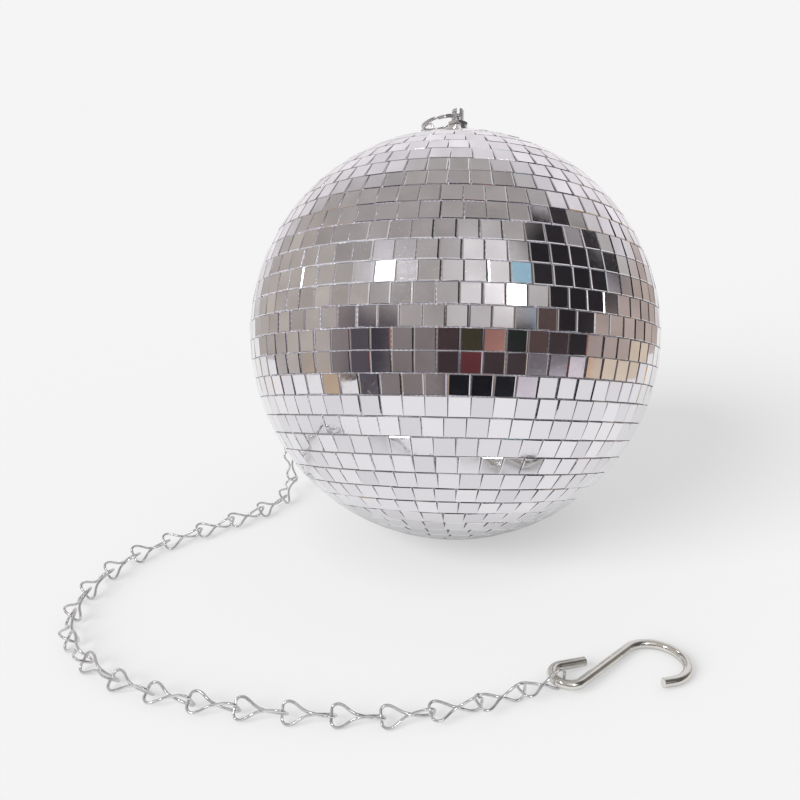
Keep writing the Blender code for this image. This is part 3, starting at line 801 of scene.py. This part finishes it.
ring_middle = middle_of("split_ring")
_, _, ring_axes = own_axes("split_ring")
ring_up = ring_axes[2] if ring_axes[2].z > 0 else -ring_axes[2]
ring_out = (ring_middle - Vector(joint_named("ring_in_stud")["pos_m"])).normalized()
ring_out = (ring_out - ring_up * ring_out.dot(ring_up)).normalized()
ring_turn = Quaternion(ring_up, ENDS_TURN) @ ring_out
RING = Matrix((ring_turn, ring_up.cross(ring_turn), ring_up)).transposed().to_4x4()
RING.translation = ring_middle
split_ring = round_wire("split_ring_coil", ring_coil(), RING_WIRE / 2, 3, False)
# spring wire is drawn smooth, so its plating is glossier than the nuts'
give_material(split_ring, make_steel("plated_spring_wire", "b6b6b8", "e6e6e7", 0.1, 0.22, 900.0))
finish_piece(split_ring, RING, "split_ring_coil", "ring", "zinc", "split_ring")

# ------------------------------------------------------------------ jack chain
# Single jack chain: each link is one piece of 1.2 mm zinc plated wire, bent into a figure of
# eight with one eye turned a quarter turn, its two ends closed up against the waist.
CHAIN_WIRE = 1.2 * MM
LINK_LENGTH = 19.82 * MM
EYE_HALF = 4.2 * MM
EYE_CORNER = 2.3 * MM
WAIST_HALF = 0.75 * MM
LINK_STATIONS = 10
CORNER_STEPS = 5
WIRE_ENDS_GAP = 0.06 * MM            # the middle line's pull back at each cut end
EYE_DEPTH = 5.0 * MM                 # how much of a link's end tells which way its eye lies


def link_half_width(x):
    """Half width at a station along the link: flat ends with round corners, and a narrow waist."""
    from_end = min(x, LINK_LENGTH - x)
    if from_end < EYE_CORNER:
        bend = math.sqrt(EYE_CORNER ** 2 - (EYE_CORNER - from_end) ** 2)
        return EYE_HALF - EYE_CORNER + bend
    share = (LINK_LENGTH / 2 - from_end) / (LINK_LENGTH / 2 - EYE_CORNER)
    return WAIST_HALF + (EYE_HALF - WAIST_HALF) * (1 - math.cos(math.pi * share)) / 2


def link_point(x, side):
    """The wire at a station: its plane turns a quarter turn along the straight part of the link."""
    middle = LINK_LENGTH / 2
    straight = middle - EYE_HALF
    turned = min(1.0, max(0.0, 0.5 + (x - middle) / straight))
    turned = turned * turned * (3 - 2 * turned)
    twist = math.pi / 2 * (1 - turned)
    width = side * link_half_width(x)
    return Vector((x, width * math.cos(twist), width * math.sin(twist)))


def link_wire():
    """The wire's middle line, starting and ending on one side of the waist with a hairline joint."""
    bend = [EYE_CORNER * (1 - math.cos(math.pi / 2 * k / CORNER_STEPS)) for k in range(CORNER_STEPS)]
    reach = LINK_LENGTH / 2 - EYE_CORNER
    stations = bend + [EYE_CORNER + reach * k / LINK_STATIONS for k in range(LINK_STATIONS + 1)]
    stations += [LINK_LENGTH - x for x in reversed(stations[:-1])]
    middle = len(stations) // 2
    first = [link_point(x, 1) for x in stations[middle:]]
    back = [link_point(x, -1) for x in reversed(stations[:-1])]
    last = [link_point(x, 1) for x in stations[1:middle + 1]]
    first[0] = first[0] + Vector((WIRE_ENDS_GAP, 0.0, 0.0))
    last[-1] = last[-1] - Vector((WIRE_ENDS_GAP, 0.0, 0.0))
    return first + back + last


def link_matrix(node, from_place):
    """A link's own frame, read from its solid: +X along it, +Z across its first eye."""
    points, middle, ways = own_axes(node)
    along = ways[0]
    if (middle - from_place).dot(along) < 0:
        along = -along
    reach = (points - np.array(middle)) @ np.array(along)
    near = points[reach < reach.min() + EYE_DEPTH] - np.array(middle)
    near = near - np.outer(near @ np.array(along), np.array(along))
    _, _, spread = np.linalg.svd(near - near.mean(axis=0), full_matrices=False)
    across = Vector(spread[0])
    across = (across - along * across.dot(along)).normalized()
    ends = float(reach.min() + reach.max()) / 2
    matrix = Matrix((along, across.cross(along), across)).transposed().to_4x4()
    matrix.translation = middle + along * (ends - LINK_LENGTH / 2)
    return matrix


# the brightest of the wires, still fresh from the plater
jack_wire = make_steel("zinc_plated_chain_wire", "bdbdc0", "efeff1", 0.1, 0.24, 1000.0)
model_link = round_wire("link", link_wire(), CHAIN_WIRE / 2, 3, False)
link_count = sum(1 for name in frame["nodes"] if name.startswith("chain_link_"))
came_from = ring_middle
for k in range(link_count):
    node_name = f"chain_link_{k + 1:02d}"
    link = bpy.data.objects.new("link", model_link.data.copy())
    bpy.context.scene.collection.objects.link(link)
    give_material(link, jack_wire)
    finish_piece(link, link_matrix(node_name, came_from), f"jack_link_{k + 1:02d}",
                 f"link_{k + 1:02d}", "chain_wire", node_name)
    came_from = middle_of(node_name)
bpy.data.objects.remove(model_link, do_unlink=True)

# ------------------------------------------------------------------ S-hook
# 4 mm mild steel wire, bent cold round two pins and zinc plated with a faint yellow passivation.
# It was cropped square, so both ends are flat with a bright, slightly dragged face.
HOOK_WIRE = 4.0 * MM
HOOK_SMALL = 6.3 * MM
HOOK_LARGE = 12.8 * MM
HOOK_SHANK = 33.5 * MM
SHANK_HEADING = math.radians(45)
TIP_HEADING = math.radians(18)
PULL_HEADING = math.radians(38)
SMALL_TIP = 11.0 * MM
LARGE_TIP = 4.0 * MM
LARGE_SWEEP = math.radians(210)
HOOK_LIFT = 4.4 * MM                 # the wire's height in the chain's last eye
HOOK_FAR_LIFT = 2.05 * MM            # and at the far side of the bow, where it lies on the table
HOOK_SETBACK = 3.35 * MM             # from the chain's last wire back to the hook's, in that eye


def arc(centre, radius, start, sweep, count):
    """Points on a flat arc, from its start through its sweep."""
    angles = [start + sweep * k / count for k in range(count + 1)]
    return [centre + radius * Vector((math.cos(a), math.sin(a))) for a in angles]


def hook_line(last_wire, heading):
    """The wire's middle line: small eye, shank and large bow, dropping towards the bow."""
    held = (last_wire - heading * HOOK_SETBACK).to_2d()
    small = held + HOOK_SMALL * Vector((math.cos(PULL_HEADING), math.sin(PULL_HEADING)))
    start = TIP_HEADING + math.pi / 2
    eye = arc(small, HOOK_SMALL, start, SHANK_HEADING + 3 * math.pi / 2 - start, 36)
    tip = Vector((math.cos(TIP_HEADING), math.sin(TIP_HEADING)))
    shank = Vector((math.cos(SHANK_HEADING), math.sin(SHANK_HEADING)))
    top = eye[-1] + HOOK_SHANK * shank
    large = top + HOOK_LARGE * Vector((shank.y, -shank.x))
    bow = arc(large, HOOK_LARGE, SHANK_HEADING + math.pi / 2, -LARGE_SWEEP, 48)
    final = SHANK_HEADING + math.pi / 2 - LARGE_SWEEP
    end = Vector((math.sin(final), -math.cos(final)))
    straight = [eye[-1].lerp(bow[0], k / 8) for k in range(1, 8)]
    line = [eye[0] + SMALL_TIP * tip] + eye + straight + bow + [bow[-1] + LARGE_TIP * end]
    away = (large - held).normalized()
    slope = (HOOK_FAR_LIFT - HOOK_LIFT) / ((large - held).length + HOOK_LARGE)
    return [Vector((*p, HOOK_LIFT + slope * (p - held).dot(away))) for p in line]


hook_pivot = Vector(joint_named("hook_swing")["pos_m"])
last_link = link_matrix(f"chain_link_{link_count:02d}", middle_of(f"chain_link_{link_count - 1:02d}"))
last_way = last_link.col[0].to_3d()
last_way.z = 0.0
last_way.normalize()
hook = round_wire("s_hook_wire", hook_line(hook_pivot, last_way), HOOK_WIRE / 2, 6, False)
soften(hook, 0.3 * MM)
# faintly yellow, and the glossiest, because thick wire is drawn and plated smoothest
give_material(hook, make_steel("passivated_zinc_wire", "c3c2be", "ebe9e2", 0.07, 0.18, 600.0))
finish_piece(hook, Matrix.Identity(4), "s_hook_wire", "hook", "hook_wire", "s_hook")
